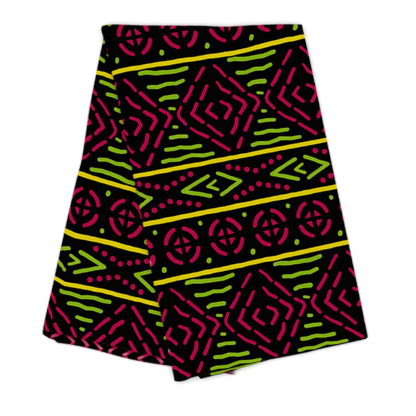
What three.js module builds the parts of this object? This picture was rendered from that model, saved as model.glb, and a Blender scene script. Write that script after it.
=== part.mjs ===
// A length of printed cotton cloth, folded and laid flat, in millimetres with +Z up.
// The cloth is folded in four along its length into a band. The band is turned back on itself at
// its top edge, so that a front wing leans right over a back wing that leans left.
//
// Every point is placed by three measures of the band:
//   s  across the band, from its long fold on the left to its open edge on the right
//   d  down from the turn's top edge, square to it
//   n  out from the middle of the band's thickness, towards the outside of the turn
// A hem is given by t, which runs down the band itself, along its long fold.

import * as THREE from 'three';

// the cloth and its folds
const BAND_WIDTH = 286;
const LEAN = THREE.MathUtils.degToRad(11.65);
const TURN_LEFT = -150.23;
const TURN_TOP = 257.46;
const TURN_RADIUS = 2.5;
const BACK_SHIFT = 7.5;
const BACK_SHIFT_DEPTH = 22;
const WAVE_DEPTH = 120;

// the walls, as distances out from the band's middle
const SHEET_OUT = 2.1;
const SHEET_IN = 1.1;
const HIDDEN_OUT = 0.8;
const SEAM_GAP = 0.3;

// how far each layer stops short of the band's open edge
const INNER_SHORT = 0.8;
const SECOND_SHORT = 0.6;
const THIRD_SHORT = 3;

// how the front wing comes down to the floor beyond the back wing's open edge
const FALL_START = 8;
const FALL_WIDTH = 50;

// mesh steps
const FRONT_STEPS = 21;
const FRONT_LAST_STEP = 506;
const BACK_STEPS = 19;
const BACK_LAST_STEP = 446;
const TURN_STEPS = 8;
const LIP_STEPS = 4;
const END_CLOSENESS = 0.6;
const COLUMNS = [4, 10, 20, 23, 34, 38, 55, 75, 95, 115, 137, 160, 185, 210, 235, 260, 283];

// where each layer is cut, by its t at a place across the band: outer is the layer on the outside
// of the turn, which is on top in the front wing and lowest in the back wing
const FRONT_CUTS = [
  { s: 0, outer: 526.4, second: 520, third: 513, inner: 516 },
  { s: 12, outer: 528, second: 521, third: 513, inner: 516 },
  { s: 26, outer: 525.6, second: 521, third: 514, inner: 517 },
  { s: 34, outer: 525.1, second: 521, third: 514, inner: 517 },
  { s: 38, outer: 524.4, second: 530.4, third: 515, inner: 517 },
  { s: 55, outer: 522.5, second: 529.3, third: 516, inner: 517 },
  { s: 75, outer: 521.5, second: 528.6, third: 516, inner: 516 },
  { s: 113, outer: 521, second: 525.6, third: 516, inner: 515 },
  { s: 137, outer: 522.4, second: 523.6, third: 515, inner: 515 },
  { s: 160, outer: 523.5, second: 521, third: 514, inner: 516 },
  { s: 278, outer: 522.8, second: 520, third: 514, inner: 516 },
  { s: 286, outer: 518.6, second: 516.5, third: 511, inner: 513 },
];
const BACK_CUTS = [
  { s: 0, outer: 457.5, second: 449, third: 457, inner: 448.5 },
  { s: 10, outer: 460.2, second: 449, third: 460.6, inner: 449.6 },
  { s: 20, outer: 456, second: 450, third: 462, inner: 450.8 },
  { s: 23, outer: 453, second: 450, third: 464.7, inner: 451.2 },
  { s: 37, outer: 453, second: 451, third: 463.8, inner: 451.2 },
  { s: 54, outer: 454, second: 451, third: 463.2, inner: 450.6 },
  { s: 81, outer: 455, second: 451, third: 463.9, inner: 451.3 },
  { s: 108, outer: 455, second: 452, third: 465.6, inner: 453 },
  { s: 137, outer: 455, second: 452, third: 466.8, inner: 454.2 },
  { s: 160, outer: 454, second: 452, third: 466.4, inner: 454.6 },
  { s: 188, outer: 454, second: 451, third: 464.8, inner: 455.4 },
  { s: 235, outer: 453, second: 450, third: 461, inner: 453 },
  { s: 286, outer: 452, second: 450, third: 456, inner: 451 },
];

// how far the two sides of each wing wander to the right of straight, by t
const FRONT_SIDES = [
  { t: 0, left: 0, right: -2.4 },
  { t: 60, left: 1.5, right: -2 },
  { t: 110, left: 2.2, right: -1 },
  { t: 200, left: 1.8, right: 0 },
  { t: 285, left: 1.6, right: 0.3 },
  { t: 370, left: -0.8, right: 0.8 },
  { t: 430, left: 0.2, right: 1 },
  { t: 530, left: 0, right: 0.8 },
];
const BACK_SIDES = [
  { t: 0, left: 0, right: -2.4 },
  { t: 40, left: -0.6, right: 0 },
  { t: 110, left: 0, right: 0 },
  { t: 170, left: 2.9, right: 0 },
  { t: 200, left: 4.2, right: 0 },
  { t: 230, left: 2.7, right: 0 },
  { t: 290, left: 1, right: 0 },
  { t: 380, left: 0, right: 0 },
  { t: 440, left: -1.2, right: 0 },
  { t: 460, left: -0.2, right: 0 },
];

// how far the turn's top edge rises above straight, across the band
const TURN_WAVE = [
  { s: 0, rise: -1.4 },
  { s: 16, rise: 0.4 },
  { s: 60, rise: -0.9 },
  { s: 140, rise: -1.4 },
  { s: 175, rise: -2.8 },
  { s: 215, rise: -0.7 },
  { s: 262, rise: 0.7 },
  { s: 286, rise: 0.2 },
];

// soft ridges that lift the layers together, as a share of their height: the centre on the floor,
// half the length and half the width of the ridge, and the angle of its length from +X in degrees
const RIDGES = [
  { x: 60, y: 100, length: 120, width: 38, angle: 35, lift: 0.12 },
  { x: 150, y: -60, length: 90, width: 34, angle: 80, lift: 0.16 },
  { x: -150, y: -60, length: 100, width: 34, angle: 75, lift: 0.18 },
  { x: 110, y: -150, length: 70, width: 34, angle: -20, lift: 0.12 },
  { x: -80, y: 180, length: 80, width: 34, angle: -40, lift: 0.12 },
  { x: -110, y: -150, length: 70, width: 36, angle: 20, lift: 0.14 },
];
const TURN_LIFT = 0.22;
const TURN_LIFT_DEPTH = 24;

const turnDepth = TURN_RADIUS + SHEET_OUT;
const turnHeight = turnDepth;
const sin = Math.sin(LEAN);
const cos = Math.cos(LEAN);
const tan = Math.tan(LEAN);

const smooth = (x) => THREE.MathUtils.smoothstep(x, 0, 1);

// The value of one column of a table at a place given by its first column, on straight lines.
function read(table, place, at, column) {
  const next = Math.max(1, table.findIndex((row) => row[place] >= at));
  const after = table[next];
  const before = table[next - 1];
  const share = THREE.MathUtils.clamp((at - before[place]) / (after[place] - before[place]), 0, 1);
  return THREE.MathUtils.lerp(before[column], after[column], share);
}

// The share by which everything above the floor is lifted at one place.
function liftAt(x, y) {
  const turn = TURN_LIFT * Math.exp(-(((TURN_TOP - y) / TURN_LIFT_DEPTH) ** 2));
  return RIDGES.reduce((sum, ridge) => {
    const angle = THREE.MathUtils.degToRad(ridge.angle);
    const along = (x - ridge.x) * Math.cos(angle) + (y - ridge.y) * Math.sin(angle);
    const across = (y - ridge.y) * Math.cos(angle) - (x - ridge.x) * Math.sin(angle);
    return sum + ridge.lift * Math.exp(-((along / ridge.length) ** 2) - (across / ridge.width) ** 2);
  }, turn);
}

// How far the front wing has come down to the floor, from 0 over the back wing to 1 beside it.
function fallAt(x, y) {
  const d = TURN_TOP - y;
  const s = (x - TURN_LEFT - BACK_SHIFT) * cos + d * sin;
  return smooth((s - BAND_WIDTH - FALL_START) / FALL_WIDTH);
}

function sideWander(sides, s, t) {
  const share = s / BAND_WIDTH;
  return THREE.MathUtils.lerp(read(sides, 't', t, 'left'), read(sides, 't', t, 'right'), share);
}

function lifted(x, y, z) {
  return new THREE.Vector3(x, y, z * (1 + liftAt(x, y)));
}

function waveAt(s, d) {
  return read(TURN_WAVE, 's', s, 'rise') * (1 - smooth(d / WAVE_DEPTH));
}

function frontPoint(s, d, n) {
  const t = (d + s * sin) / cos;
  const x = TURN_LEFT + (s + sideWander(FRONT_SIDES, s, t)) / cos + d * tan;
  const y = TURN_TOP - d + waveAt(s, d);
  const z = turnHeight + TURN_RADIUS * (1 - 2 * fallAt(x, y)) + n;
  return lifted(x, y, z);
}

function backPoint(s, d, n) {
  const t = (d - s * sin) / cos;
  const shift = BACK_SHIFT * smooth(d / BACK_SHIFT_DEPTH);
  const x = TURN_LEFT + shift + (s + sideWander(BACK_SIDES, s, t)) / cos - d * tan;
  const y = TURN_TOP - d + waveAt(s, d);
  return lifted(x, y, turnHeight - TURN_RADIUS - n);
}

// A point on the turn, at a share of the way from the front wing to the back wing.
function turnPoint(s, share, n) {
  const front = frontPoint(s, turnDepth, n);
  const back = backPoint(s, turnDepth, n);
  const angle = share * Math.PI;
  const radius = TURN_RADIUS + n;
  const x = THREE.MathUtils.lerp(front.x, back.x, (1 - Math.cos(angle)) / 2);
  const y = TURN_TOP - turnDepth + waveAt(s, turnDepth) + radius * Math.sin(angle);
  return lifted(x, y, turnHeight + radius * Math.cos(angle));
}

// Shares from 0 to 1 whose steps are shorter towards both ends.
function shares(steps) {
  return Array.from({ length: steps + 1 }, (_, i) => {
    const even = i / steps;
    return even - (END_CLOSENESS * Math.sin(2 * Math.PI * even)) / (2 * Math.PI);
  });
}

// The run of one point of a section from the front hem, round the turn, to the back hem. All layers
// share their steps down to the last two, which reach each layer's own cut.
function run({ s, n, layer }) {
  const depths = (steps, last, cuts, slope) => {
    const cut = read(cuts, 's', s, layer);
    const end = last * cos + slope * s;
    const shared = shares(steps).map((share) => THREE.MathUtils.lerp(turnDepth, end, share));
    return [...shared, ...[(last + cut) / 2, cut].map((t) => t * cos + slope * s)];
  };
  const front = depths(FRONT_STEPS, FRONT_LAST_STEP, FRONT_CUTS, -sin);
  const back = depths(BACK_STEPS, BACK_LAST_STEP, BACK_CUTS, sin);
  const turn = Array.from({ length: TURN_STEPS - 1 }, (_, i) => (i + 1) / TURN_STEPS);
  return [
    ...front.reverse().map((d) => frontPoint(s, d, n)),
    ...turn.map((share) => turnPoint(s, share, n)),
    ...back.map((d) => backPoint(s, d, n)),
  ];
}

// A closed solid from a ring of points across the band, each run from hem to hem. Its quads are all
// cut along the same diagonal, so that the faces of neighbouring layers stay parallel. Its two ends
// are closed by strips between two equally long lists of points and by fans from one point to a
// list. Points past the ring lie inside the section, and only their ends are used.
function clothSolid(ring, insidePoints, strips, fans) {
  const runs = ring.map(run);
  const rows = runs[0].length;
  const ends = insidePoints.map(run).flatMap((points) => [points[0], points[rows - 1]]);
  const positions = [...runs.flat(), ...ends].flatMap((point) => point.toArray());
  const index = [];
  for (let i = 0; i < ring.length; i += 1) {
    const next = (i + 1) % ring.length;
    const rightwards = ring[next].s > ring[i].s;
    for (let j = 0; j < rows - 1; j += 1) {
      const [a, b] = [i * rows + j, next * rows + j];
      index.push(...(rightwards ? [a, b, a + 1, b, b + 1, a + 1] : [a, b, b + 1, a, b + 1, a + 1]));
    }
  }
  for (const atBack of [0, 1]) {
    const corner = (i) => {
      const inside = i - ring.length;
      return inside < 0 ? i * rows + atBack * (rows - 1) : ring.length * rows + 2 * inside + atBack;
    };
    const face = (a, b, c) => {
      const corners = [a, b, c].map(corner);
      index.push(...(atBack ? corners : corners.reverse()));
    };
    for (const [one, other] of strips) {
      for (let k = 0; k < one.length - 1; k += 1) {
        face(one[k], one[k + 1], other[k + 1]);
        face(one[k], other[k + 1], other[k]);
      }
    }
    for (const [tip, around] of fans) {
      for (let k = 0; k < around.length - 1; k += 1) face(tip, around[k], around[k + 1]);
    }
  }
  const geometry = new THREE.BufferGeometry();
  geometry.setAttribute('position', new THREE.Float32BufferAttribute(positions, 3));
  geometry.setIndex(index);
  return geometry;
}

const listOf = (count, first, step = 1) => Array.from({ length: count }, (_, i) => first + i * step);

// The section of a showing sheet: it starts at the middle of the rounded long fold, where the
// other sheet begins, and ends in a round nose at the open edge. side is 1 outside the turn.
function sheetGeometry(layer, side, width) {
  const arc = (radius) => listOf(LIP_STEPS + 1, 0).map((i) => {
    const start = Math.asin(SEAM_GAP / 2 / radius);
    const angle = THREE.MathUtils.lerp(start, Math.PI / 2, i / LIP_STEPS);
    return { s: SHEET_OUT - radius * Math.cos(angle), n: side * radius * Math.sin(angle), layer };
  });
  const noseRadius = (SHEET_OUT - SHEET_IN) / 2;
  const columns = [...COLUMNS, width - noseRadius];
  const outer = [...arc(SHEET_OUT), ...columns.map((s) => ({ s, n: side * SHEET_OUT, layer }))];
  const inner = [...arc(SHEET_IN), ...columns.map((s) => ({ s, n: side * SHEET_IN, layer }))];
  const nose = { s: width, n: side * (SHEET_OUT + SHEET_IN) / 2, layer };
  const count = outer.length;
  const ring = [...outer, nose, ...inner.reverse()];
  if (side < 0) ring.reverse();
  const strip = [listOf(count, 0), listOf(count, 2 * count, -1)];
  return clothSolid(ring, [], [strip], [[count, [count + 1, count - 1]]]);
}

// The two hidden layers as one solid, rounded at the long fold and stepped at the hems and the
// open edge, where each layer ends at its own place.
function hiddenGeometry() {
  const bevel = SHEET_OUT - HIDDEN_OUT * Math.SQRT1_2;
  const columns = [SHEET_OUT, ...COLUMNS.slice(0, -1)];
  const half = (layer, n, edge) => [
    { s: bevel, n: n * Math.SQRT1_2, layer },
    ...[...columns, edge].map((s) => ({ s, n, layer })),
  ];
  const middle = (layer) => [bevel, ...columns].map((s) => ({ s, n: 0, layer }));
  const secondEdge = BAND_WIDTH - SECOND_SHORT;
  const thirdEdge = BAND_WIDTH - THIRD_SHORT;
  const second = half('second', HIDDEN_OUT, secondEdge);
  const third = half('third', -HIDDEN_OUT, thirdEdge);
  const count = second.length;
  const ring = [
    { s: SHEET_OUT - HIDDEN_OUT, n: 0, layer: 'third' },
    ...second,
    { s: secondEdge, n: 0, layer: 'second' },
    { s: thirdEdge, n: 0, layer: 'third' },
    ...third.reverse(),
  ];
  const secondRow = listOf(count, 1);
  const secondMiddle = [...listOf(count - 1, ring.length), count + 1];
  const thirdMiddle = [...listOf(count - 1, ring.length + count - 1), count + 2];
  const thirdRow = listOf(count, ring.length - 1, -1);
  const rowsAcross = [secondRow, secondMiddle, thirdMiddle, thirdRow];
  const strips = listOf(rowsAcross.length - 1, 0).map((i) => [rowsAcross[i], rowsAcross[i + 1]]);
  const fan = [0, rowsAcross.map((row) => row[0])];
  return clothSolid(ring, [...middle('second'), ...middle('third')], strips, [fan]);
}

function cloth(name, geometry, color) {
  geometry.computeVertexNormals();
  const material = new THREE.MeshStandardMaterial({ color, roughness: 0.85, metalness: 0 });
  const mesh = new THREE.Mesh(geometry, material);
  mesh.name = name;
  return mesh;
}

const part = new THREE.Group();
part.add(cloth('front_sheet', sheetGeometry('outer', 1, BAND_WIDTH), 0x14080e));
part.add(cloth('back_sheet', sheetGeometry('inner', -1, BAND_WIDTH - INNER_SHORT), 0x180a12));
part.add(cloth('hidden_layers', hiddenGeometry(), 0x101010));

export default part;
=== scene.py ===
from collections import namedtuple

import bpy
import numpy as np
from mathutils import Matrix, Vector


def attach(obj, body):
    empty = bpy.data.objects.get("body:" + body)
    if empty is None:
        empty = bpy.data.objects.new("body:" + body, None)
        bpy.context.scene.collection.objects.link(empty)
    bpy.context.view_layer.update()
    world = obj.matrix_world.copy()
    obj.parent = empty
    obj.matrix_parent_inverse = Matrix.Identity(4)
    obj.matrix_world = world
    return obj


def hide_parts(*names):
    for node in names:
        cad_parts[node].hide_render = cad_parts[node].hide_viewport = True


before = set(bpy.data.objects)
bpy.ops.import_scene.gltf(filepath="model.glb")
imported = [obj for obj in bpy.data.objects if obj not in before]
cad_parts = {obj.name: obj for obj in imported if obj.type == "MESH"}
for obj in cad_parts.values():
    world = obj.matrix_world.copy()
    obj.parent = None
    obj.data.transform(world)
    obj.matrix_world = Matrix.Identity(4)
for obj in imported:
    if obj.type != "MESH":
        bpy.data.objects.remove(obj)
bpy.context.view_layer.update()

# A length of printed cotton, folded in four along its length into a band and turned back on itself
# at the top, so that a front wing leans right over a back wing that leans left.
#
# A point of the cloth is placed by three measures of the band, in millimetres until it is a mesh:
#   s  across the band, from its long fold on the left
#   d  down from the turn's top edge, square to it
#   n  out from the middle of the band's thickness, towards the outside of the turn
# A cut or a mark on the print is given by t, which runs down the band itself.

MM = 0.001

# the band and its turn, as in the solids
BAND = 286.0
LEAN = np.radians(11.65)
TURN_LEFT = -150.23
TURN_TOP = 257.46
TURN_RADIUS = 2.5
SHEET_OUT = 2.1
BACK_SHIFT, BACK_SHIFT_DEPTH = 7.5, 22.0
WAVE_DEPTH = 120.0
FALL_START, FALL_WIDTH = 8.0, 50.0
TURN_LIFT, TURN_LIFT_DEPTH = 0.22, 24.0
SIN, COS, TAN = np.sin(LEAN), np.cos(LEAN), np.tan(LEAN)
TURN_DEPTH = TURN_RADIUS + SHEET_OUT

# the cloth: its thickness, the n of its showing and hidden layers, how far each fold takes to lie
# level, the s of the hidden fold on the left and of the two open edges on the right, and how much
# closer its rows lie at a hem
THICK = 0.42
OUTER_N, SECOND_N = 1.84, 0.62
FOLD_SOFTNESS, HIDDEN_FOLD_SOFTNESS = 7.0, 4.0
HIDDEN_FOLD_LEFT = 5.8
INNER_EDGE, THIRD_EDGE = BAND - 1.2, BAND - 0.6
HALF_GAP = (OUTER_N - SECOND_N) / 2
HALF_THICK = THICK / 2
CLOSER_AT_HEM = 1.15


def smooth(x):
    """0 below 0, 1 above 1, and an S-shaped curve between them: x squared times (3 - 2x)."""
    x = np.clip(x, 0, 1)
    return x * x * (3 - 2 * x)


def through(places, values, at):
    """A smooth curve through the values at the places: between two of them a cubic, whose slopes
    are the limited mean of the straight slopes on both sides, so that it never overshoots."""
    places, values = np.asarray(places, float), np.asarray(values, float)
    steps = np.diff(places)
    slopes = np.diff(values) / steps
    left, right = slopes[:-1], slopes[1:]
    both = left + right
    mean = 2 * left * right / np.where(both == 0, 1, both)
    tangents = np.concatenate([[slopes[0]], np.where(left * right > 0, mean, 0), [slopes[-1]]])
    at = np.clip(at, places[0], places[-1])
    i = np.clip(np.searchsorted(places, at) - 1, 0, len(steps) - 1)
    x = (at - places[i]) / steps[i]
    start = values[i] * (1 + 2 * x) * (1 - x) ** 2 + steps[i] * tangents[i] * x * (1 - x) ** 2
    end = values[i + 1] * x * x * (3 - 2 * x) - steps[i] * tangents[i + 1] * x * x * (1 - x)
    return start + end


class Table:
    """A short table: the first named column is the place, the others are values read at it."""

    def __init__(self, names, *rows):
        self.names = names.split()
        self.columns = dict(zip(self.names, zip(*rows)))

    def read(self, column, at):
        return through(self.columns[self.names[0]], self.columns[column], at)


# Where each layer is cut, by its t: outer is the layer on the outside of the turn, on top in the
# front wing and lowest in the back wing, and inner is the one on the inside of the turn.
FRONT_CUTS = Table(
    "s outer second third inner",
    (0, 526.4, 520, 513, 516),
    (12, 528, 521, 513, 516),
    (26, 525.6, 521, 514, 517),
    (35.6, 525.1, 521.5, 514, 517),
    (36.6, 524.9, 530.2, 515, 517),
    (55, 524.5, 529.3, 516, 517),
    (75, 524.0, 528.6, 516, 516),
    (105, 523.2, 526.0, 516, 515),
    (130, 522.6, 524.1, 515, 515),
    (145, 523.3, 523.0, 514, 516),
    (160, 523.7, 521.6, 514, 516),
    (190, 524.0, 521.4, 514, 516),
    (215, 523.1, 521.3, 514, 516),
    (257, 522.5, 521.2, 514, 516),
    (280, 522.1, 521.0, 514, 516),
    (284, 521.4, 520.8, 513, 515),
    (286, 519.2, 520.2, 512, 514),
)
BACK_CUTS = Table(
    "s outer second third inner",
    (0, 457.5, 449, 457, 448.5),
    (10, 460.2, 449, 460.6, 449.6),
    (20, 456, 450, 462, 450.8),
    (22, 453, 450, 464.7, 451.2),
    (37, 453, 451, 463.8, 451.2),
    (54, 454, 451, 463.2, 450.6),
    (81, 455, 451, 463.9, 451.3),
    (108, 455, 452, 465.6, 453),
    (137, 455, 452, 466.8, 454.2),
    (160, 454, 452, 466.4, 454.6),
    (188, 454, 451, 464.8, 455.4),
    (235, 453, 450, 461, 453),
    (286, 452, 450, 458.4, 451),
)

# how far the sides of each wing wander to the right of straight, by t
FRONT_SIDES = Table(
    "t left right",
    (0, 0, -2.4),
    (60, 1.5, -2),
    (110, 2.2, -1),
    (200, 1.8, 0),
    (285, 1.6, 0.3),
    (370, -0.8, 0.8),
    (430, 0.2, 1),
    (530, 0, 0.8),
)
BACK_SIDES = Table(
    "t left right",
    (0, 0, -2.4),
    (40, -0.6, 0),
    (110, 0, 0),
    (170, 2.9, 0),
    (200, 4.2, 0),
    (230, 2.7, 0),
    (290, 1, 0),
    (380, 0, 0),
    (440, -1.2, 0),
    (460, -0.2, 0),
)

# how far the turn's top edge rises above straight
TURN_WAVE = Table(
    "s rise",
    (0, -1.4),
    (16, 0.4),
    (60, -0.9),
    (140, -1.4),
    (175, -2.8),
    (215, -0.7),
    (262, 0.7),
    (286, 0.2),
)

# soft ridges and troughs that lift the layers together, as a share of their height
RIDGES = Table(
    "x y length width angle lift",
    (60, 100, 120, 38, 35, 0.12),
    (150, -60, 90, 34, 80, 0.16),
    (-150, -60, 100, 34, 75, 0.18),
    (110, -150, 70, 34, -20, 0.12),
    (-80, 180, 80, 34, -40, 0.12),
    (-110, -150, 70, 36, 20, 0.14),
    (-145, -203, 104, 7, -12, 0.34),
    (52, -226, 88, 8, 12, 0.16),
    (190, -196, 60, 9, 12, 0.10),
    (20, 150, 90, 7, 12, 0.05),
    (60, 40, 120, 8, 11, 0.05),
    (90, -72, 110, 9, 12, 0.045),
    (-118, 30, 60, 8, -13, 0.08),
    (-150, -100, 70, 9, -14, 0.07),
    (70, 180, 60, 10, -58, 0.04),
    (150, 60, 50, 9, 62, -0.04),
    (10, -20, 60, 12, -66, -0.05),
    (120, -170, 70, 10, 48, 0.05),
)


def lift(x, y):
    """The share by which the cloth stands higher: a sum of soft bells, long one way and narrow the
    other, each exp(-(along / length)^2 - (across / width)^2), and one bell along the turn."""
    total = TURN_LIFT * np.exp(-(((TURN_TOP - y) / TURN_LIFT_DEPTH) ** 2))
    for cx, cy, length, width, angle, height in zip(*RIDGES.columns.values()):
        c, s = np.cos(np.radians(angle)), np.sin(np.radians(angle))
        along, across = (x - cx) * c + (y - cy) * s, (y - cy) * c - (x - cx) * s
        total = total + height * np.exp(-((along / length) ** 2) - (across / width) ** 2)
    return total


def wander(sides, s, t):
    """How far a place lies right of straight: the two sides' own wander, mixed across the band."""
    share = s / BAND
    return sides.read("left", t) * (1 - share) + sides.read("right", t) * share


def wave(s, d):
    """The rise of the turn's edge, fading out down the wing."""
    return TURN_WAVE.read("rise", s) * (1 - smooth(d / WAVE_DEPTH))


def front_xy(s, d):
    """The front wing's place on the floor: the band leans right by LEAN as it goes down."""
    t = (d + s * SIN) / COS
    return TURN_LEFT + (s + wander(FRONT_SIDES, s, t)) / COS + d * TAN, TURN_TOP - d + wave(s, d)


def back_xy(s, d):
    """The back wing's place on the floor: it leans left, and has slipped right under the turn."""
    t = (d - s * SIN) / COS
    shift = BACK_SHIFT * smooth(d / BACK_SHIFT_DEPTH)
    x = TURN_LEFT + shift + (s + wander(BACK_SIDES, s, t)) / COS - d * TAN
    return x, TURN_TOP - d + wave(s, d)


def fall(x, y):
    """0 where the front wing lies over the back wing, 1 where it has come down to the floor."""
    d = TURN_TOP - y
    s = (x - TURN_LEFT - BACK_SHIFT) * COS + d * SIN
    return smooth((s - BAND - FALL_START) / FALL_WIDTH)


def wing_depths(row, front_hem, back_hem):
    """The d on both wings: straight from the turn at its row, 0 or 1, to the hem at row -1 or 2."""
    front_d = TURN_DEPTH + (front_hem - TURN_DEPTH) * np.clip(-row, 0, 1)
    back_d = TURN_DEPTH + (back_hem - TURN_DEPTH) * np.clip(row - 1, 0, 1)
    return front_d, back_d


def place(s, n, row, front_hem, back_hem):
    """Points in millimetres for whole arrays of s, n and row. row runs from -1 at the front hem to
    0 where the turn starts, 1 where it ends and 2 at the back hem. In the turn the cloth goes round
    half a circle."""
    front_d, back_d = wing_depths(row, front_hem, back_hem)
    fx, fy = front_xy(s, front_d)
    bx, by = back_xy(s, back_d)
    fz = TURN_DEPTH + TURN_RADIUS * (1 - 2 * fall(fx, fy)) + n
    bz = TURN_DEPTH - TURN_RADIUS - n
    angle = np.clip(row, 0, 1) * np.pi
    radius = TURN_RADIUS + n
    turned = (1 - np.cos(angle)) / 2
    on_turn = (row > 0) & (row < 1)
    x = np.where(on_turn, fx * (1 - turned) + bx * turned, np.where(row <= 0, fx, bx))
    y = np.where(on_turn, fy + radius * np.sin(angle), np.where(row <= 0, fy, by))
    z = np.where(on_turn, TURN_DEPTH + radius * np.cos(angle), np.where(row <= 0, fz, bz))
    return np.stack([x, y, z * (1 + lift(x, y))], axis=-1)


def hem_depths(layer, s):
    """The d of a layer's two cuts, from their t."""
    return (
        FRONT_CUTS.read(layer, s) * COS - s * SIN,
        BACK_CUTS.read(layer, s) * COS + s * SIN,
    )


def rows_along(front, turn, back):
    """The rows of a layer: even steps on the turn, and on the wings steps that grow shorter towards
    the hem, at 1 - (1 - x) to the power CLOSER_AT_HEM."""

    def on_wing(count):
        return 1 - (1 - np.linspace(0, 1, count + 1)) ** CLOSER_AT_HEM

    on_turn = np.linspace(0, 1, turn + 1)[1:-1]
    return np.concatenate([-on_wing(front)[::-1], on_turn, 1 + on_wing(back)])


# The print as it lies on each wing, in millimetres, because the cloth was pulled and slipped as it
# was folded: how far it lies further down, and further left, than an even repeat would, at places
# across the band, and at the depths t that the _AT lists give for the named columns.
DOWN_ON_FRONT = Table(
    "s turn rings_1 line_1 line_2 line_3 line_4 diamonds hem edge",
    (0, -1.2, -2.7, -3.9, -1.8, -0.9, 0.0, -0.7, 3.6, 3.4),
    (17, -1.2, -3.6, -4.8, -1.5, -0.8, -0.1, -1.0, 2.8, 2.4),
    (43, -2.4, -3.3, -3.9, -1.1, -0.6, -0.4, -1.9, 0.6, -2.8),
    (87, -2.0, -2.2, -2.4, -0.4, -0.2, -0.8, -2.3, 0.2, -3.0),
    (130, -0.3, -0.2, -0.3, 0.4, 0.3, -1.0, -2.4, 0.0, -2.8),
    (202, 1.6, 1.6, 1.9, 1.5, 0.9, -1.6, -2.8, -0.6, -3.2),
    (286, 5.0, 4.6, 1.1, 2.8, 1.7, -2.3, -3.2, -1.9, -4.4),
)
DOWN_ON_FRONT_AT = (8.0, 48.0, 76.2, 226.2, 296.2, 382.2, 440.0, 514.0, 526.0)
DOWN_ON_BACK = Table(
    "s line_1 diamonds line_2 rings line_3 line_4 hem_1 hem_2 edge",
    (0, -4.1, -2.7, -5.3, -7.1, -5.8, -6.6, -4.5, -4.5, -4.5),
    (7, -3.5, -2.0, -4.6, -6.1, -4.6, -4.4, -2.3, -2.3, -2.3),
    (12, -3.1, -1.4, -3.9, -5.2, -3.4, -2.5, -0.4, -0.4, -0.2),
    (17, -2.0, -0.6, -3.3, -4.3, -2.3, -0.7, 1.0, 1.0, 1.6),
    (43, 0.0, 2.0, -1.1, -3.2, -2.2, -1.4, 0.5, 0.5, 1.2),
    (65, 1.0, 3.2, 0.9, -2.4, -2.2, -2.1, 0.0, 0.0, 0.8),
    (87, 2.0, 4.6, 2.9, -0.6, -0.7, -1.5, 0.4, 0.4, 1.0),
    (108, 3.0, 5.4, 4.5, 0.7, 0.2, -0.5, 1.4, 1.4, 2.0),
    (150, 4.0, 7.0, 7.0, 3.0, 2.0, 1.5, 3.5, 3.5, 4.5),
    (286, 5.0, 9.0, 10.0, 8.0, 6.0, 6.0, 8.0, 8.0, 9.0),
)
DOWN_ON_BACK_AT = (73.6, 148.6, 223.6, 266.6, 309.6, 379.6, 440.0, 450.0, 463.0)
LEFT_ON_FRONT = Table(
    "s turn rings_1 diamonds_1 line_2 arrows rings_2 line_4 diamonds_2 hem",
    (0, -2.4, -0.8, 7.0, 4.8, 4.6, 2.4, -0.8, 4.8, -0.6),
    (30, -1.4, -0.6, 4.6, 3.8, 4.1, 0.4, -2.2, 4.4, -0.4),
    (50, -0.6, -0.9, 3.1, 3.3, 3.7, -0.7, -2.6, 3.4, 0.2),
    (80, 0.4, -2.4, 2.2, 2.7, 3.2, -0.3, -2.3, 2.5, 1.2),
    (125, -1.0, -3.6, 2.9, 1.5, 1.2, -0.3, -1.8, 4.2, 1.4),
    (175, -2.0, -5.2, 2.6, 1.4, 2.4, -0.6, -1.3, 4.5, 1.7),
    (225, -2.0, -5.2, 3.0, 2.9, 2.6, 0.9, -0.6, 5.1, 3.5),
    (270, -2.0, -5.6, 3.9, 4.1, 2.9, 1.9, 0.8, 6.8, 4.0),
)
LEFT_ON_FRONT_AT = (0.0, 60.0, 92.0, 215.0, 261.0, 312.0, 368.0, 394.0, 515.0)
LEFT_ON_BACK = Table(
    "s diamonds_1 line_2 rings arrows line_4 hem",
    (0, 1.0, 1.8, 4.4, 4.4, 1.8, 4.4),
    (15, 1.3, 2.4, 4.3, 3.2, 1.0, 4.0),
    (45, 2.9, 4.2, 3.2, -0.8, 0.3, 2.9),
    (80, 3.4, 5.0, 3.6, -1.6, 0.2, 4.8),
    (125, 3.2, 3.4, 2.0, -0.9, -0.1, 1.8),
    (175, 3.0, 3.0, 1.7, -0.5, -0.8, 2.0),
    (286, 3.0, 3.0, 1.7, -0.5, 6.0, 12.0),
)
LEFT_ON_BACK_AT = (150.0, 222.0, 262.0, 330.0, 395.0, 440.0)

# where the print's first line and a diamond's middle lie, and how the bands drift across
FRONT_LINE, BACK_LINE = 76.2, 82.4
FRONT_MOTIF_AT, BACK_MOTIF_AT = 11.1, 13.0
FRONT_MOTIF_T, BACK_MOTIF_T = 151.6, 187.7
FRONT_DRIFT, BACK_DRIFT = 0.0235, 0.02

# The layers between: how far they have slipped down on each wing, how much further left the print
# of the third lies, and how much of it its hem takes up by curling under, over the last depth.
SLIP_ON_FRONT, SLIP_ON_BACK = 6.2, 11.9
SLIP_FRONT_FROM, SLIP_BACK_FROM, SLIP_LENGTH = 250.0, 200.0, 250.0
THIRD_LEFT = 65.0
HEM_CURL, HEM_CURL_DEPTH = 0.5, 12.6

# how far from the long fold the print's moves to the left have all their strength
FOLD_FADE = 3.0

# painted sheen, a highlight along the curled edge above the back hem, and wear: the selvedges,
# the long fold and the cut edges
SHEEN_AT, SHEEN_WAVE, SHEEN_WAVE_LENGTH, SHEEN_WIDTH = 6.0, 0.6, 31.0, 1.1
SHEEN_MOST_AT, SHEEN_SPREAD, SHEEN_LEAST = 62.0, 48.0, 0.35
SELVEDGE, SELVEDGE_FADE = 3.5, 2.5
WORN_THROUGH, WORN_SHARE, WORN_REACH = (352.0, 481.0), 0.4, 2.0
WORN_HIGH, WORN_WIDE, WORN_AT = 1.6, 1.2, 0.8
CUT_EDGE, FAR = 1.2, 99.0


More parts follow.
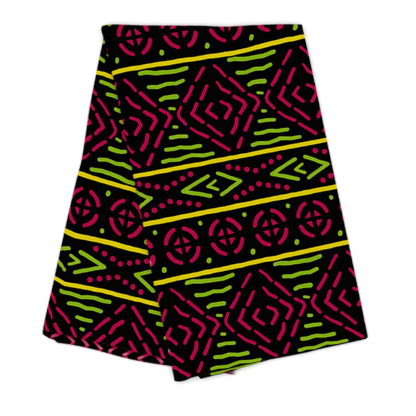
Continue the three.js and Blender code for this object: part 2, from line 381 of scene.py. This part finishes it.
def moved(table, places, s, t):
    """The print's move at a place: each column's value across the band, even between columns."""
    moves = [table.read(name, s) for name in table.names[1:]]
    total = moves[0] + 0 * t
    for i in range(len(places) - 1):
        share = np.clip((t - places[i]) / (places[i + 1] - places[i]), 0, 1)
        total = total + (moves[i + 1] - moves[i]) * share
    return total


# ---- the layers as meshes ----


def fold_columns(width, height, count):
    """A quarter of an ellipse, from the fold's edge to where the cloth is level: s grows by
    width * (1 - cos) and n by height * sin."""
    angle = np.linspace(0, np.pi / 2, count + 1)
    return width * (1 - np.cos(angle)), height * np.sin(angle)


def level_columns(start, end, step):
    """Even columns between two folds, without the two ends."""
    count = max(2, int(round(abs(end - start) / step)))
    return np.linspace(start, end, count + 1)[1:-1]


class Columns:
    """The columns of a piece, across the cloth: their s, n and u, the cut cloth's own measure, and
    their two cuts, which pass from one layer's to the other layer's through a fold."""

    def __init__(self):
        self.parts = [[] for _ in range(5)]

    def add(self, s, n, u, layer, other=None, share=0.0):
        front, back = hem_depths(layer, s)
        if other:
            other_front, other_back = hem_depths(other, s)
            front = front + (other_front - front) * share
            back = back + (other_back - back) * share
        for part, new in zip(self.parts, (s, np.broadcast_to(n, s.shape), u, front, back)):
            part.append(new)
        return self

    def arrays(self):
        return [np.concatenate(part) for part in self.parts]


def sheet_mesh(name, columns, rows, hidden=False):
    """A grid of the columns and rows put in place, each face turned so that it looks out, with its
    place on the print as its UV map and its marks of wear and painted sheen as an attribute."""
    s, n, u, front_hem, back_hem = (part[None, :] for part in columns.arrays())
    row = rows[:, None]
    shape = np.broadcast(s, row).shape
    points = place(s + 0 * row, n, row, front_hem, back_hem)
    a, b = print_place(s, u, row, front_hem, back_hem, hidden)
    marks = wear_and_sheen(s, u, row, front_hem, back_hem)
    index = np.arange(shape[0] * shape[1]).reshape(shape)
    faces = np.stack([index[:-1, :-1], index[1:, :-1], index[1:, 1:], index[:-1, 1:]], axis=-1)
    faces = faces.reshape(-1, 4)
    mesh = bpy.data.meshes.new(name)
    mesh.vertices.add(index.size)
    mesh.vertices.foreach_set("co", (points * MM).reshape(-1).astype(np.float32))
    mesh.loops.add(faces.size)
    mesh.loops.foreach_set("vertex_index", faces.reshape(-1).astype(np.int32))
    mesh.polygons.add(len(faces))
    mesh.polygons.foreach_set("loop_start", np.arange(0, faces.size, 4, dtype=np.int32))
    mesh.update(calc_edges=True)
    mesh.polygons.foreach_set("use_smooth", np.ones(len(faces), dtype=bool))
    layer = mesh.uv_layers.new(name="print")
    uv = np.stack([a, b], axis=-1).reshape(-1, 2) * MM
    layer.data.foreach_set("uv", uv[faces.reshape(-1)].reshape(-1).astype(np.float32))
    layer = mesh.color_attributes.new(name="marks", type="FLOAT_COLOR", domain="POINT")
    layer.data.foreach_set("color", marks.reshape(-1).astype(np.float32))
    mesh.validate()
    piece = bpy.data.objects.new(name, mesh)
    bpy.context.scene.collection.objects.link(piece)
    thickness = piece.modifiers.new("thickness", "SOLIDIFY")
    thickness.thickness = THICK * MM
    thickness.offset = 0.0
    thickness.use_even_offset = False
    mesh.materials.append(WAX_PRINT)
    return piece


def wing_measures(s, row, front_hem, back_hem):
    """The t of each point on both wings, and how far it is from its own cut."""
    front_d, back_d = wing_depths(row, front_hem, back_hem)
    front_t, back_t = (front_d + s * SIN) / COS, (back_d - s * SIN) / COS
    return front_t, back_t, front_hem - front_d, back_hem - back_d


def turned(u):
    """1 where the cloth's own measure grows to the right, -1 where it has been folded over, and 0
    on the long fold."""
    over = (u < 0) | ((u > BAND) & (u < 2 * BAND))
    return np.where(over, -1.0, 1.0) * smooth(np.abs(u) / FOLD_FADE)


def on_third(u):
    """True on the hidden layer whose edge shows as a strip below the back hem."""
    return u > 2 * BAND - HIDDEN_FOLD_LEFT


def print_place(s, u, row, front_hem, back_hem, hidden):
    """The place on the print, in millimetres: a across it from the middle of a diamond, and b down
    it from the line above the diamonds. The layers between have slipped down a little, and the hem
    of the third curls under, so that more of the print comes to the same length."""
    front_t, back_t, _, back_left = wing_measures(s, row, front_hem, back_hem)
    third = on_third(u)
    if hidden:
        curled = np.where(third, HEM_CURL * np.clip(HEM_CURL_DEPTH - back_left, 0, None), 0)
        slipped = smooth((front_t - SLIP_FRONT_FROM) / SLIP_LENGTH)
        front_t = front_t - SLIP_ON_FRONT * slipped
        slipped = smooth((back_t - SLIP_BACK_FROM) / SLIP_LENGTH)
        back_t = back_t - SLIP_ON_BACK * slipped + curled
    front_b = front_t - moved(DOWN_ON_FRONT, DOWN_ON_FRONT_AT, s, front_t) - FRONT_LINE
    back_b = moved(DOWN_ON_BACK, DOWN_ON_BACK_AT, s, back_t) - back_t - BACK_LINE
    front_a = u + turned(u) * moved(LEFT_ON_FRONT, LEFT_ON_FRONT_AT, s, front_t)
    front_a = front_a - FRONT_MOTIF_AT - FRONT_DRIFT * (front_t - FRONT_MOTIF_T)
    back_a = u + turned(u) * moved(LEFT_ON_BACK, LEFT_ON_BACK_AT, s, back_t)
    back_a = back_a - BACK_MOTIF_AT + BACK_DRIFT * (back_t - BACK_MOTIF_T) + THIRD_LEFT * third
    back = smooth(row)
    return front_a + (back_a - front_a) * back, front_b + (back_b - front_b) * back


def wear_and_sheen(s, u, row, front_hem, back_hem):
    """Where the cloth shows a painted sheen or is worn or unprinted, from 0 to 1, as red: a painted
    highlight along the curled edge that shows at the back hem, a bell across it; green: the pale
    selvedges, and specks where the long fold is worn through; blue: the cut edges."""
    front_t, back_t, front_left, back_left = wing_measures(s, row, front_hem, back_hem)
    on_back = row > 1
    strength = np.exp(-(((s - SHEEN_MOST_AT) / SHEEN_SPREAD) ** 2))
    strength = SHEEN_LEAST + (1 - SHEEN_LEAST) * strength
    above_line = back_left - SHEEN_AT - SHEEN_WAVE * np.sin(s / SHEEN_WAVE_LENGTH)
    line = np.exp(-((above_line / SHEEN_WIDTH) ** 2))
    # painted sheen: a pale highlight along the curled edge of the third layer, above the back hem
    painted_sheen = np.where(on_back & on_third(u), strength * line, 0)
    from_selvedge = np.minimum(u + BAND, 3 * BAND - 2 * HIDDEN_FOLD_LEFT - u) + 0 * row
    selvedge = 1 - smooth((from_selvedge - SELVEDGE) / SELVEDGE_FADE)
    on_fold = (row < 0) & (np.abs(u) < WORN_REACH)
    for worn_t in WORN_THROUGH:
        speck = ((front_t - worn_t) / WORN_HIGH) ** 2 + ((s - WORN_AT) / WORN_WIDE) ** 2
        selvedge = np.maximum(selvedge, np.where(on_fold, WORN_SHARE * np.exp(-speck), 0))
    left = np.where(row <= 0, front_left, np.where(on_back, back_left, FAR)) + 0 * s
    edge = 1 - smooth(left / CUT_EDGE)
    return np.stack([painted_sheen + 0 * s, selvedge, edge, np.ones_like(edge)], axis=-1)


# ---- the print and its material ----


class Value:
    """A socket of a material, with the usual signs: each adds one Math node."""

    def __init__(self, paint, socket):
        self.paint, self.socket = paint, socket

    def __add__(self, other):
        return self.paint.math("ADD", self, other)

    def __radd__(self, other):
        return self.paint.math("ADD", other, self)

    def __sub__(self, other):
        return self.paint.math("SUBTRACT", self, other)

    def __rsub__(self, other):
        return self.paint.math("SUBTRACT", other, self)

    def __mul__(self, other):
        return self.paint.math("MULTIPLY", self, other)

    def __rmul__(self, other):
        return self.paint.math("MULTIPLY", other, self)

    def __truediv__(self, other):
        return self.paint.math("DIVIDE", self, other)

    def other(self, output):
        """Another output of the same node."""
        return Value(self.paint, self.socket.node.outputs[output])


class Paint:
    """A material and the ways to add to its nodes."""

    def __init__(self, name):
        self.material = bpy.data.materials.new(name)
        self.material.use_nodes = True
        self.tree = self.material.node_tree
        self.tree.nodes.clear()

    def node(self, kind, settings, inputs, output=0):
        """Adds a node: its settings first, then values or links for its sockets."""
        made = self.tree.nodes.new(kind)
        for name, setting in settings.items():
            setattr(made, name, setting)
        for name, value in inputs.items():
            if isinstance(value, Value):
                self.tree.links.new(value.socket, made.inputs[name])
            else:
                made.inputs[name].default_value = value
        return Value(self, made.outputs[output]) if made.outputs else None

    def math(self, operation, *values):
        return self.node("ShaderNodeMath", {"operation": operation}, dict(enumerate(values)))

    def vector(self, operation, *values, output=0):
        inputs = dict(enumerate(values))
        return self.node("ShaderNodeVectorMath", {"operation": operation}, inputs, output)

    def least(self, first, second):
        return self.math("MINIMUM", first, second)

    def nearer(self, first, second):
        """The smaller of two distances, or the second where there is no first yet."""
        return second if first is None else self.least(first, second)

    def most(self, first, second):
        return self.math("MAXIMUM", first, second)

    def size(self, value):
        return self.math("ABSOLUTE", value)

    def wrapped(self, value, half):
        """The value carried into the range from -half to half by whole repeats."""
        return self.math("WRAP", value, half, -half)

    def held(self, value):
        """The value held between 0 and 1."""
        return self.node("ShaderNodeClamp", {}, {0: value})

    def scaled(self, vector, size):
        return self.node("ShaderNodeVectorMath", {"operation": "SCALE"}, {0: vector, 3: size})

    def point(self, x, y):
        return self.node("ShaderNodeCombineXYZ", {}, {0: x, 1: y, 2: 0.0})

    def mix(self, share, first, second):
        """A colour between two, by the share of the second."""
        inputs = {0: share, 6: first, 7: second}
        return self.node("ShaderNodeMix", {"data_type": "RGBA"}, inputs, 2)

    def noise(self, place, scale, detail, output=0):
        inputs = {"Vector": place, "Scale": scale, "Detail": detail}
        return self.node("ShaderNodeTexNoise", {}, inputs, output)

    def bumped(self, height, depth, normal=None):
        inputs = {"Strength": 1.0, "Distance": depth, "Height": height}
        if normal:
            inputs["Normal"] = normal
        return self.node("ShaderNodeBump", {}, inputs)

    def finished(self, inputs):
        """The material, once its shader with these inputs is linked to its surface."""
        shader = self.node("ShaderNodeBsdfPrincipled", {}, inputs)
        self.node("ShaderNodeOutputMaterial", {}, {"Surface": shader})
        return self.material


Brush = namedtuple("Brush", "start end path")
Ink = namedtuple("Ink", "rim middle depth")


def brushed(paint, at, stroke, nearest):
    """The nearer of what was nearest and this brush stroke, a path of straight pieces with round
    ends: for each, the distance to its closest point, less half the width there, which goes evenly
    from the start's to the end's."""
    path = np.array(stroke.path, float).reshape(-1, 2)
    lengths = np.linalg.norm(np.diff(path, axis=0), axis=1)
    gone = np.concatenate([[0.0], np.cumsum(lengths)]) / lengths.sum()
    halves = (stroke.start + (stroke.end - stroke.start) * gone) / 2
    for start, end, half, next_half in zip(path[:-1], path[1:], halves[:-1], halves[1:]):
        along = end - start
        square = float(along @ along)
        here = paint.vector("SUBTRACT", at, (*start, 0.0))
        share = paint.vector("DOT_PRODUCT", here, (*(along / square), 0.0), output=1)
        share = paint.held(share)
        closest = paint.scaled((*along, 0.0), share)
        distance = paint.vector("DISTANCE", here, closest, output=1)
        if next_half != half:
            distance = paint.math("MULTIPLY_ADD", share, float(half - next_half), distance)
        nearest = paint.nearer(nearest, distance - float(half))
    return nearest


def drawn(paint, at, strokes, nearest=None):
    """The nearer of what was nearest and all the strokes of a motif."""
    for stroke in strokes:
        nearest = brushed(paint, at, stroke, nearest)
    return nearest


REPEAT_A, REPEAT_B = 130.0, 306.0

# The print, drawn to about a millimetre: bands of broken diamonds with barred hourglasses
# between them, of arrowheads with dotted waists between them, and of parted rings, with a line
# between each two bands. A brush stroke is its width at the start and the end, and its path as
# places across and down from the motif's middle.
DIAMOND_AT, ARROWS_AT, RINGS_AT = 75.5, 185.0, 260.6
LINES_AT = ((-0.3, 5.8), (149.9, 5.3), (219.7, 6.2))

DIAMOND = (
    Brush(3.0, 3.6, (9, -62, 16, -54, 21, -44)),
    Brush(4.6, 3.6, (27, -39, 42, -18)),
    Brush(3.8, 4.0, (48, -11, 57, -5, 60, 2, 50, 13)),
    Brush(3.6, 4.8, (44, 20, 31, 38)),
    Brush(3.8, 4.8, (23, 49, 15, 61)),
    Brush(2.8, 4.2, (7, -37, 12, -26, 21, -19)),
    Brush(4.8, 4.4, (27, -12, 37, -3, 39, 3, 30, 13)),
    Brush(4.4, 5.0, (23, 20, 19, 30, 11, 39)),
    Brush(3.6, 4.6, (6, -8, 15, -2, 17, 5, 7, 16)),
    Brush(4.0, 3.0, (-7, -60, -22, -44)),
    Brush(4.0, 4.6, (-29, -36, -36, -27, -45, -18)),
    Brush(3.4, 3.8, (-52, -10, -58, -2, -58, 4, -51, 15)),
    Brush(3.0, 4.0, (-45, 22, -37, 30, -25, 38)),
    Brush(3.2, 4.4, (-19, 44, 1, 62)),
    Brush(3.8, 4.4, (-8, -34, -21, -17)),
    Brush(4.4, 4.6, (-29, -11, -34, -3, -39, 2, -27, 16)),
    Brush(3.2, 4.0, (-20, 22, -12, 31, -4, 40)),
    Brush(3.8, 4.2, (-8, -7, -17, 2, -6, 14)),
)
HOURGLASS = (
    Brush(5.2, 5.4, (-34, -67, -26, -67, -13, -64, 17, -62, 33, -64)),
    Brush(4.8, 4.6, (-25, -46, -13, -44, 0, -46, 13, -44, 25, -47)),
    Brush(4.8, 6.2, (-13, -25, -7, -27, 10, -26)),
    Brush(3.4, 3.2, (-3, -11, 3, -9)),
    Brush(4.0, 3.6, (-3, 16, 1, 17)),
    Brush(4.6, 4.2, (-11, 30, 0, 30, 11, 32)),
    Brush(4.6, 4.6, (-21, 46, -10, 47, 0, 46, 13, 49, 27, 49)),
    Brush(5.0, 4.4, (-29, 62, -21, 61, -6, 63, 13, 60, 28, 63, 42, 63)),
)
ARROWS = (
    Brush(4.6, 4.8, (-5, -16, -43, -1, -8, 13)),
    Brush(3.2, 3.6, (4, -7, -8, -1, 4, 6)),
    Brush(4.6, 4.4, (10, -17, 40, 0, 8, 14)),
)
SPOTS = (
    Brush(5.2, 5.2, (0, -27, 0, -26)),
    Brush(5.8, 5.6, (-0.6, 30, 0.2, 28)),
)
DOT_STEP, DOT_RISE, DOT_OPENING, DOT_RADIUS, WAIST_AT = 12.5, 4.2, 9.9, 3.5, -0.6
DOTS_BESIDE = 3.0
RING_WIDE, RING_HIGH, RING_BRUSH = 22.6, 26.0, (5.0, 4.2)
RING_FROM, RING_TO = np.radians(18), np.radians(71)
PIE, PIE_RADIUS, CROSS_WIDE, CROSS_HIGH = 10.3, 12.2, 7.0, 6.6

# the inks, by the colours of rim and middle and how far the middle goes, and what wear and the
# painted sheen bring out
BLACK = (0.0004, 0.0002, 0.0004, 1)
MAGENTA = Ink((0.53, 0.003, 0.080, 1), (0.325, 0.0004, 0.043, 1), 0.9)
LIME = Ink((0.335, 0.555, 0.018, 1), (0.165, 0.345, 0.0005, 1), 1.0)
YELLOW = Ink((0.840, 0.735, 0.007, 1), (0.560, 0.430, 0.0006, 1), 0.9)
PALE = (0.80, 0.70, 0.66, 1)
# the painted sheen: the pale pink of the highlight, and how much of the ink it takes over
PAINTED_SHEEN, PAINTED_SHEEN_SHARE = (0.84, 0.34, 0.54, 1), 0.95
SHADE, SHADE_SHARE, SHADE_GAIN, SHADE_FROM = (0.001, 0.0008, 0.001, 1), 0.35, 0.5, 0.14
TONE_SCALE = 0.03
CUT, CUT_SHARE = (0.25, 0.10, 0.12, 1), 0.035

# how the inks lie, in millimetres: the sway of the drawing, the roughness of an edge, and what the
# distance from a stroke is multiplied by and added to for the ink's cover and its middle
SWAY, SWAY_SCALE = 2.2, 0.06
ROUGH, ROUGH_SCALE = 0.45, 0.7
COVER_SLOPE, COVER_START = -2.2, 0.3
MIDDLE_SLOPE, MIDDLE_START = -1.2, -0.7

# the cloth's surface: the weave's pitch in millimetres, the depths of its bumps in metres, and how
# rough it is
WEAVE_PITCH, WEAVE_DEPTH = 0.42, 0.00003
SOFT_SCALE, SOFT_DEPTH = 0.05, 0.0009
SMOOTHEST, ROUGHER, ROUGHER_SCALE = 0.72, 0.16, 0.2


def dots(paint, across, down):
    """Two rows of dots that draw together to a waist: a dot in the middle and DOTS_BESIDE on each
    side, every DOT_STEP, and the further from the waist, the further apart the rows."""
    x, y = paint.size(across), paint.size(down - WAIST_AT)
    beside = paint.least(paint.math("ROUND", x / DOT_STEP), DOTS_BESIDE)
    centre = paint.point(beside * DOT_STEP, beside * DOT_RISE + DOT_OPENING)
    return paint.vector("DISTANCE", paint.point(x, y), centre, output=1) - DOT_RADIUS


def rings(paint, across, down):
    """An oval ring in four arcs round four pies. The arc is a circle once what is down is scaled:
    the distance to its closest point in the quarter, less half the brush, which is thinner towards
    the top. A pie is what is inside a slanted edge and a circle and outside a cross's arms."""
    squat = RING_WIDE / RING_HIGH
    x, y = paint.size(across), paint.size(down) * squat
    first, last = float(RING_FROM), float(RING_TO)
    angle = paint.math("ARCTAN2", y, x)
    angle = paint.least(paint.most(angle, first), last)
    on_arc_x = paint.math("COSINE", angle) * RING_WIDE
    on_arc = paint.point(on_arc_x, paint.math("SINE", angle) * RING_WIDE)
    here = paint.point(x, y)
    thin = (RING_BRUSH[1] - RING_BRUSH[0]) / 2 / (last - first)
    arc = paint.vector("DISTANCE", here, on_arc, output=1) - (angle - first) * thin
    arc = arc - RING_BRUSH[0] / 2
    slanted = (x + y) * float(np.sqrt(0.5)) - PIE
    pie = paint.most(slanted, paint.vector("LENGTH", here, output=1) - PIE_RADIUS)
    pie = paint.most(pie, paint.most(CROSS_WIDE / 2 - x, CROSS_HIGH / 2 * squat - y))
    return paint.least(arc, pie)


def ink_distances(paint, a, b):
    """How far a place is from the nearest stroke of magenta, lime and yellow, in millimetres and
    less than 0 inside it. Each motif is wrapped round its own middle in the repeat."""
    down = paint.wrapped(b - DIAMOND_AT, REPEAT_B / 2)
    magenta = drawn(paint, paint.point(paint.wrapped(a, REPEAT_A / 2), down), DIAMOND)
    between_diamonds = paint.wrapped(a - REPEAT_A / 2, REPEAT_A / 2)
    lime = drawn(paint, paint.point(between_diamonds, down), HOURGLASS)
    down = paint.wrapped(b - ARROWS_AT, REPEAT_B / 2)
    across = paint.wrapped(a - REPEAT_A * 0.75, REPEAT_A / 2)
    lime = drawn(paint, paint.point(across, down), ARROWS, lime)
    across = paint.wrapped(a - REPEAT_A / 4, REPEAT_A / 2)
    magenta = paint.least(magenta, dots(paint, across, down))
    down = paint.wrapped(b - RINGS_AT, REPEAT_B / 2)
    across = paint.wrapped(a - REPEAT_A / 4, REPEAT_A / 4)
    magenta = paint.least(magenta, rings(paint, across, down))
    lime = drawn(paint, paint.point(paint.wrapped(a, REPEAT_A / 4), down), SPOTS, lime)
    yellow = None
    for line, width in LINES_AT:
        from_line = paint.size(paint.wrapped(b - line, REPEAT_B / 2))
        yellow = paint.nearer(yellow, from_line - width / 2)
    return magenta, lime, yellow


def wax_print():
    """The printed cotton: inks by their distance to the drawn strokes, on black, then wear and a
    painted sheen by the piece's marks, and a plain weave on a soft surface."""
    paint = Paint("wax_print")
    flat = paint.scaled(paint.node("ShaderNodeUVMap", {"uv_map": "print"}, {}), 1 / MM)
    noise = paint.noise(flat, SWAY_SCALE, 1.0, output=1)
    sway = paint.vector("SUBTRACT", noise, (0.5, 0.5, 0.5))
    swayed = paint.vector("MULTIPLY_ADD", sway, (SWAY, SWAY, 0.0), flat)
    a = paint.node("ShaderNodeSeparateXYZ", {}, {0: swayed})
    magenta, lime, yellow = ink_distances(paint, a, a.other(1))

    rough = (paint.noise(flat, ROUGH_SCALE, 1.0) - 0.5) * ROUGH
    tone = paint.noise(flat, TONE_SCALE, 2.0)
    colour, inked = BLACK, None
    for distance, ink in ((magenta, MAGENTA), (lime, LIME), (yellow, YELLOW)):
        cover = paint.math("MULTIPLY_ADD", distance + rough, COVER_SLOPE, COVER_START)
        cover = paint.held(cover)
        inside = paint.math("MULTIPLY_ADD", distance, MIDDLE_SLOPE, MIDDLE_START)
        inside = paint.held(inside) * ink.depth
        colour = paint.mix(cover, colour, paint.mix(inside, ink.rim, ink.middle))
        inked = cover if inked is None else paint.most(inked, cover)

    marks = paint.node("ShaderNodeVertexColor", {"layer_name": "marks"}, {})
    painted_sheen = paint.node("ShaderNodeSeparateColor", {}, {0: marks})
    selvedge, cut_edge = painted_sheen.other(1), painted_sheen.other(2)
    # painted sheen: the ink turns pale pink along the curled edge above the back hem
    colour = paint.mix(painted_sheen * inked * PAINTED_SHEEN_SHARE, colour, PAINTED_SHEEN)
    colour = paint.mix((tone * SHADE_GAIN - SHADE_FROM) * SHADE_SHARE, colour, SHADE)
    colour = paint.mix(selvedge, colour, PALE)
    colour = paint.mix(cut_edge * CUT_SHARE, colour, CUT)

    across = paint.node("ShaderNodeSeparateXYZ", {}, {0: flat})
    turns = float(2 * np.pi / WEAVE_PITCH)
    warp = paint.math("SINE", across * turns)
    weft = paint.math("SINE", across.other(1) * turns)
    weave = paint.bumped(warp * weft, WEAVE_DEPTH)
    soft = paint.bumped(paint.noise(flat, SOFT_SCALE, 3.0), SOFT_DEPTH, weave)
    inputs = {
        "Base Color": colour,
        "Roughness": SMOOTHEST + ROUGHER * paint.noise(flat, ROUGHER_SCALE, 2.0),
        "Specular IOR Level": 0.01,
        "Sheen Weight": 0.006,
        "Sheen Roughness": 0.5,
        "Normal": soft,
    }
    return paint.finished(inputs)


WAX_PRINT = wax_print()


# ---- the pieces ----

# rows on the front wing, the turn and the back wing, and the step between columns
ROWS, HIDDEN_ROWS = (168, 14, 148), (112, 14, 100)
STEP, HIDDEN_STEP = 3.1, 4.6

# columns round the long fold, the fold on the right and the hidden folds
LONG_FOLD_COLUMNS, OUTER_FOLD_COLUMNS, HIDDEN_FOLD_COLUMNS = 7, 5, 4

# how the cloth's own measure u differs from s: its share of s on the long fold, and how much it is
# behind once past the fold, less for the inner layer, which goes the shorter way
FOLD_SHARE, FOLD_LOSS, INNER_TIGHT = 0.6, 1.5, 0.7

# at the middle of the long fold the cut lies this share of the way from the outer's to the inner's
NEAR_SHARE = 0.1


def outer_columns(step):
    """The layer outside the turn: from the long fold up to the level, across, and half way round
    the fold that it shares with the next layer."""
    s, n = fold_columns(FOLD_SOFTNESS, OUTER_N, LONG_FOLD_COLUMNS)
    share = NEAR_SHARE * (1 - n / OUTER_N)
    made = Columns().add(HALF_THICK + s, n, s * FOLD_SHARE, "outer", "inner", share)
    level = level_columns(HALF_THICK + FOLD_SOFTNESS, BAND - HIDDEN_FOLD_SOFTNESS, step)
    made.add(level, OUTER_N, level - FOLD_LOSS, "outer")
    s, n = fold_columns(HIDDEN_FOLD_SOFTNESS - HALF_THICK, HALF_GAP, OUTER_FOLD_COLUMNS)
    s, n = BAND - HALF_THICK - s[::-1], SECOND_N + HALF_GAP + n[::-1]
    share = 0.5 * (OUTER_N - n) / HALF_GAP
    return made.add(s, n, s - FOLD_LOSS, "outer", "second", share)


def inner_columns(step):
    """The layer inside the turn: from the same long fold the other way and across to a selvedge."""
    s, n = fold_columns(FOLD_SOFTNESS, OUTER_N, LONG_FOLD_COLUMNS)
    share = (1 - NEAR_SHARE) * (1 - n / OUTER_N)
    made = Columns().add(HALF_THICK + s, -n, -s * FOLD_SHARE, "inner", "outer", share)
    level = np.append(level_columns(HALF_THICK + FOLD_SOFTNESS, INNER_EDGE, step), INNER_EDGE)
    return made.add(level, -OUTER_N, FOLD_LOSS - INNER_TIGHT - level, "inner")


def hidden_columns(step):
    """The two layers between: back from the fold on the right, round on the left, and across to the
    other selvedge."""
    s, n = fold_columns(HIDDEN_FOLD_SOFTNESS - HALF_THICK, HALF_GAP, HIDDEN_FOLD_COLUMNS)
    s, n = BAND - HALF_THICK - s, SECOND_N + HALF_GAP - n
    share = 0.5 * (n - SECOND_N) / HALF_GAP
    made = Columns().add(s, n, 2 * BAND - s, "second", "outer", share)
    left = HIDDEN_FOLD_LEFT
    level = level_columns(BAND - HIDDEN_FOLD_SOFTNESS, left + HIDDEN_FOLD_SOFTNESS, step)
    made.add(level, SECOND_N, 2 * BAND - level, "second")
    s, n = fold_columns(HIDDEN_FOLD_SOFTNESS, SECOND_N, HIDDEN_FOLD_COLUMNS)
    share = 0.5 * (1 - n / SECOND_N)
    onward = 2 * BAND - left
    made.add(left + s[::-1], n[::-1], onward - s[::-1], "second", "third", share[::-1])
    made.add(left + s[1:], -n[1:], onward + s[1:], "third", "second", share[1:])
    level = np.append(level_columns(left + HIDDEN_FOLD_SOFTNESS, THIRD_EDGE, step), THIRD_EDGE)
    return made.add(level, -SECOND_N, onward - left + level, "third")


outer = sheet_mesh("outer_cloth", outer_columns(STEP), rows_along(*ROWS))
inner = sheet_mesh("inner_cloth", inner_columns(STEP), rows_along(*ROWS))
between = sheet_mesh(
    "between_cloth", hidden_columns(HIDDEN_STEP), rows_along(*HIDDEN_ROWS), hidden=True
)

for piece, node in ((outer, "front_sheet"), (inner, "back_sheet"), (between, "hidden_layers")):
    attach(piece, "root")
    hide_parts(node)


# ---- floor, light and camera ----

SKY, FLOOR_REACH = 1.12, 4.0
FLOOR, FLOOR_DARKER, GRAIN = (0.95, 0.95, 0.95, 1), (0.9, 0.9, 0.9, 1), 0.02

# the camera: its sensor and lens in millimetres, and in metres the middle of what it sees, how wide
# that is, and its height above the floor
SENSOR, LENS = 36.0, 120.0
VIEW_X, VIEW_Y, VIEW_WIDE, VIEW_HEIGHT = 0.0043, -0.00748, 0.6007, 0.005


def floor():
    """A plain pale floor, one square just under the cloth."""
    corners = np.array([[-1, -1, 0], [1, -1, 0], [1, 1, 0], [-1, 1, 0]], float) * FLOOR_REACH
    mesh = bpy.data.meshes.new("floor")
    mesh.from_pydata(corners.tolist(), [], [[0, 1, 2, 3]])
    paint = Paint("pale_floor")
    grain = paint.noise(paint.node("ShaderNodeTexCoord", {}, {}, 3), 40.0, 2.0)
    colour = paint.mix(grain * GRAIN, FLOOR, FLOOR_DARKER)
    inputs = {"Base Color": colour, "Roughness": 0.9, "Specular IOR Level": 0.1}
    mesh.materials.append(paint.finished(inputs))
    made = bpy.data.objects.new("floor", mesh)
    bpy.context.scene.collection.objects.link(made)


def soft_light(name, place, size, power):
    """A wide square light that looks at the cloth."""
    data = bpy.data.lights.new(name, "AREA")
    data.shape, data.size, data.energy = "SQUARE", size, power
    made = bpy.data.objects.new(name, data)
    made.location = place
    made.rotation_euler = (-Vector(place)).to_track_quat("-Z", "Y").to_euler()
    bpy.context.scene.collection.objects.link(made)


def sky():
    """Even white light from all round."""
    world = bpy.data.worlds.new("sky")
    world.use_nodes = True
    light = world.node_tree.nodes["Background"].inputs
    light["Color"].default_value = (1, 1, 1, 1)
    light["Strength"].default_value = SKY
    bpy.context.scene.world = world


def camera():
    """Straight above the cloth, with a long lens."""
    data = bpy.data.cameras.new("camera")
    data.sensor_width, data.lens = SENSOR, LENS
    data.clip_end = 20.0
    made = bpy.data.objects.new("camera", data)
    made.location = (VIEW_X, VIEW_Y, VIEW_WIDE / SENSOR * LENS + VIEW_HEIGHT)
    bpy.context.scene.collection.objects.link(made)
    bpy.context.scene.camera = made


floor()
sky()
soft_light("window", (-1.2, 1.0, 2.2), 1.6, 8)
soft_light("fill", (1.6, -0.8, 1.8), 2.0, 4)
camera()
bpy.context.scene.view_settings.view_transform = "Standard"
bpy.context.scene.view_settings.look = "None"
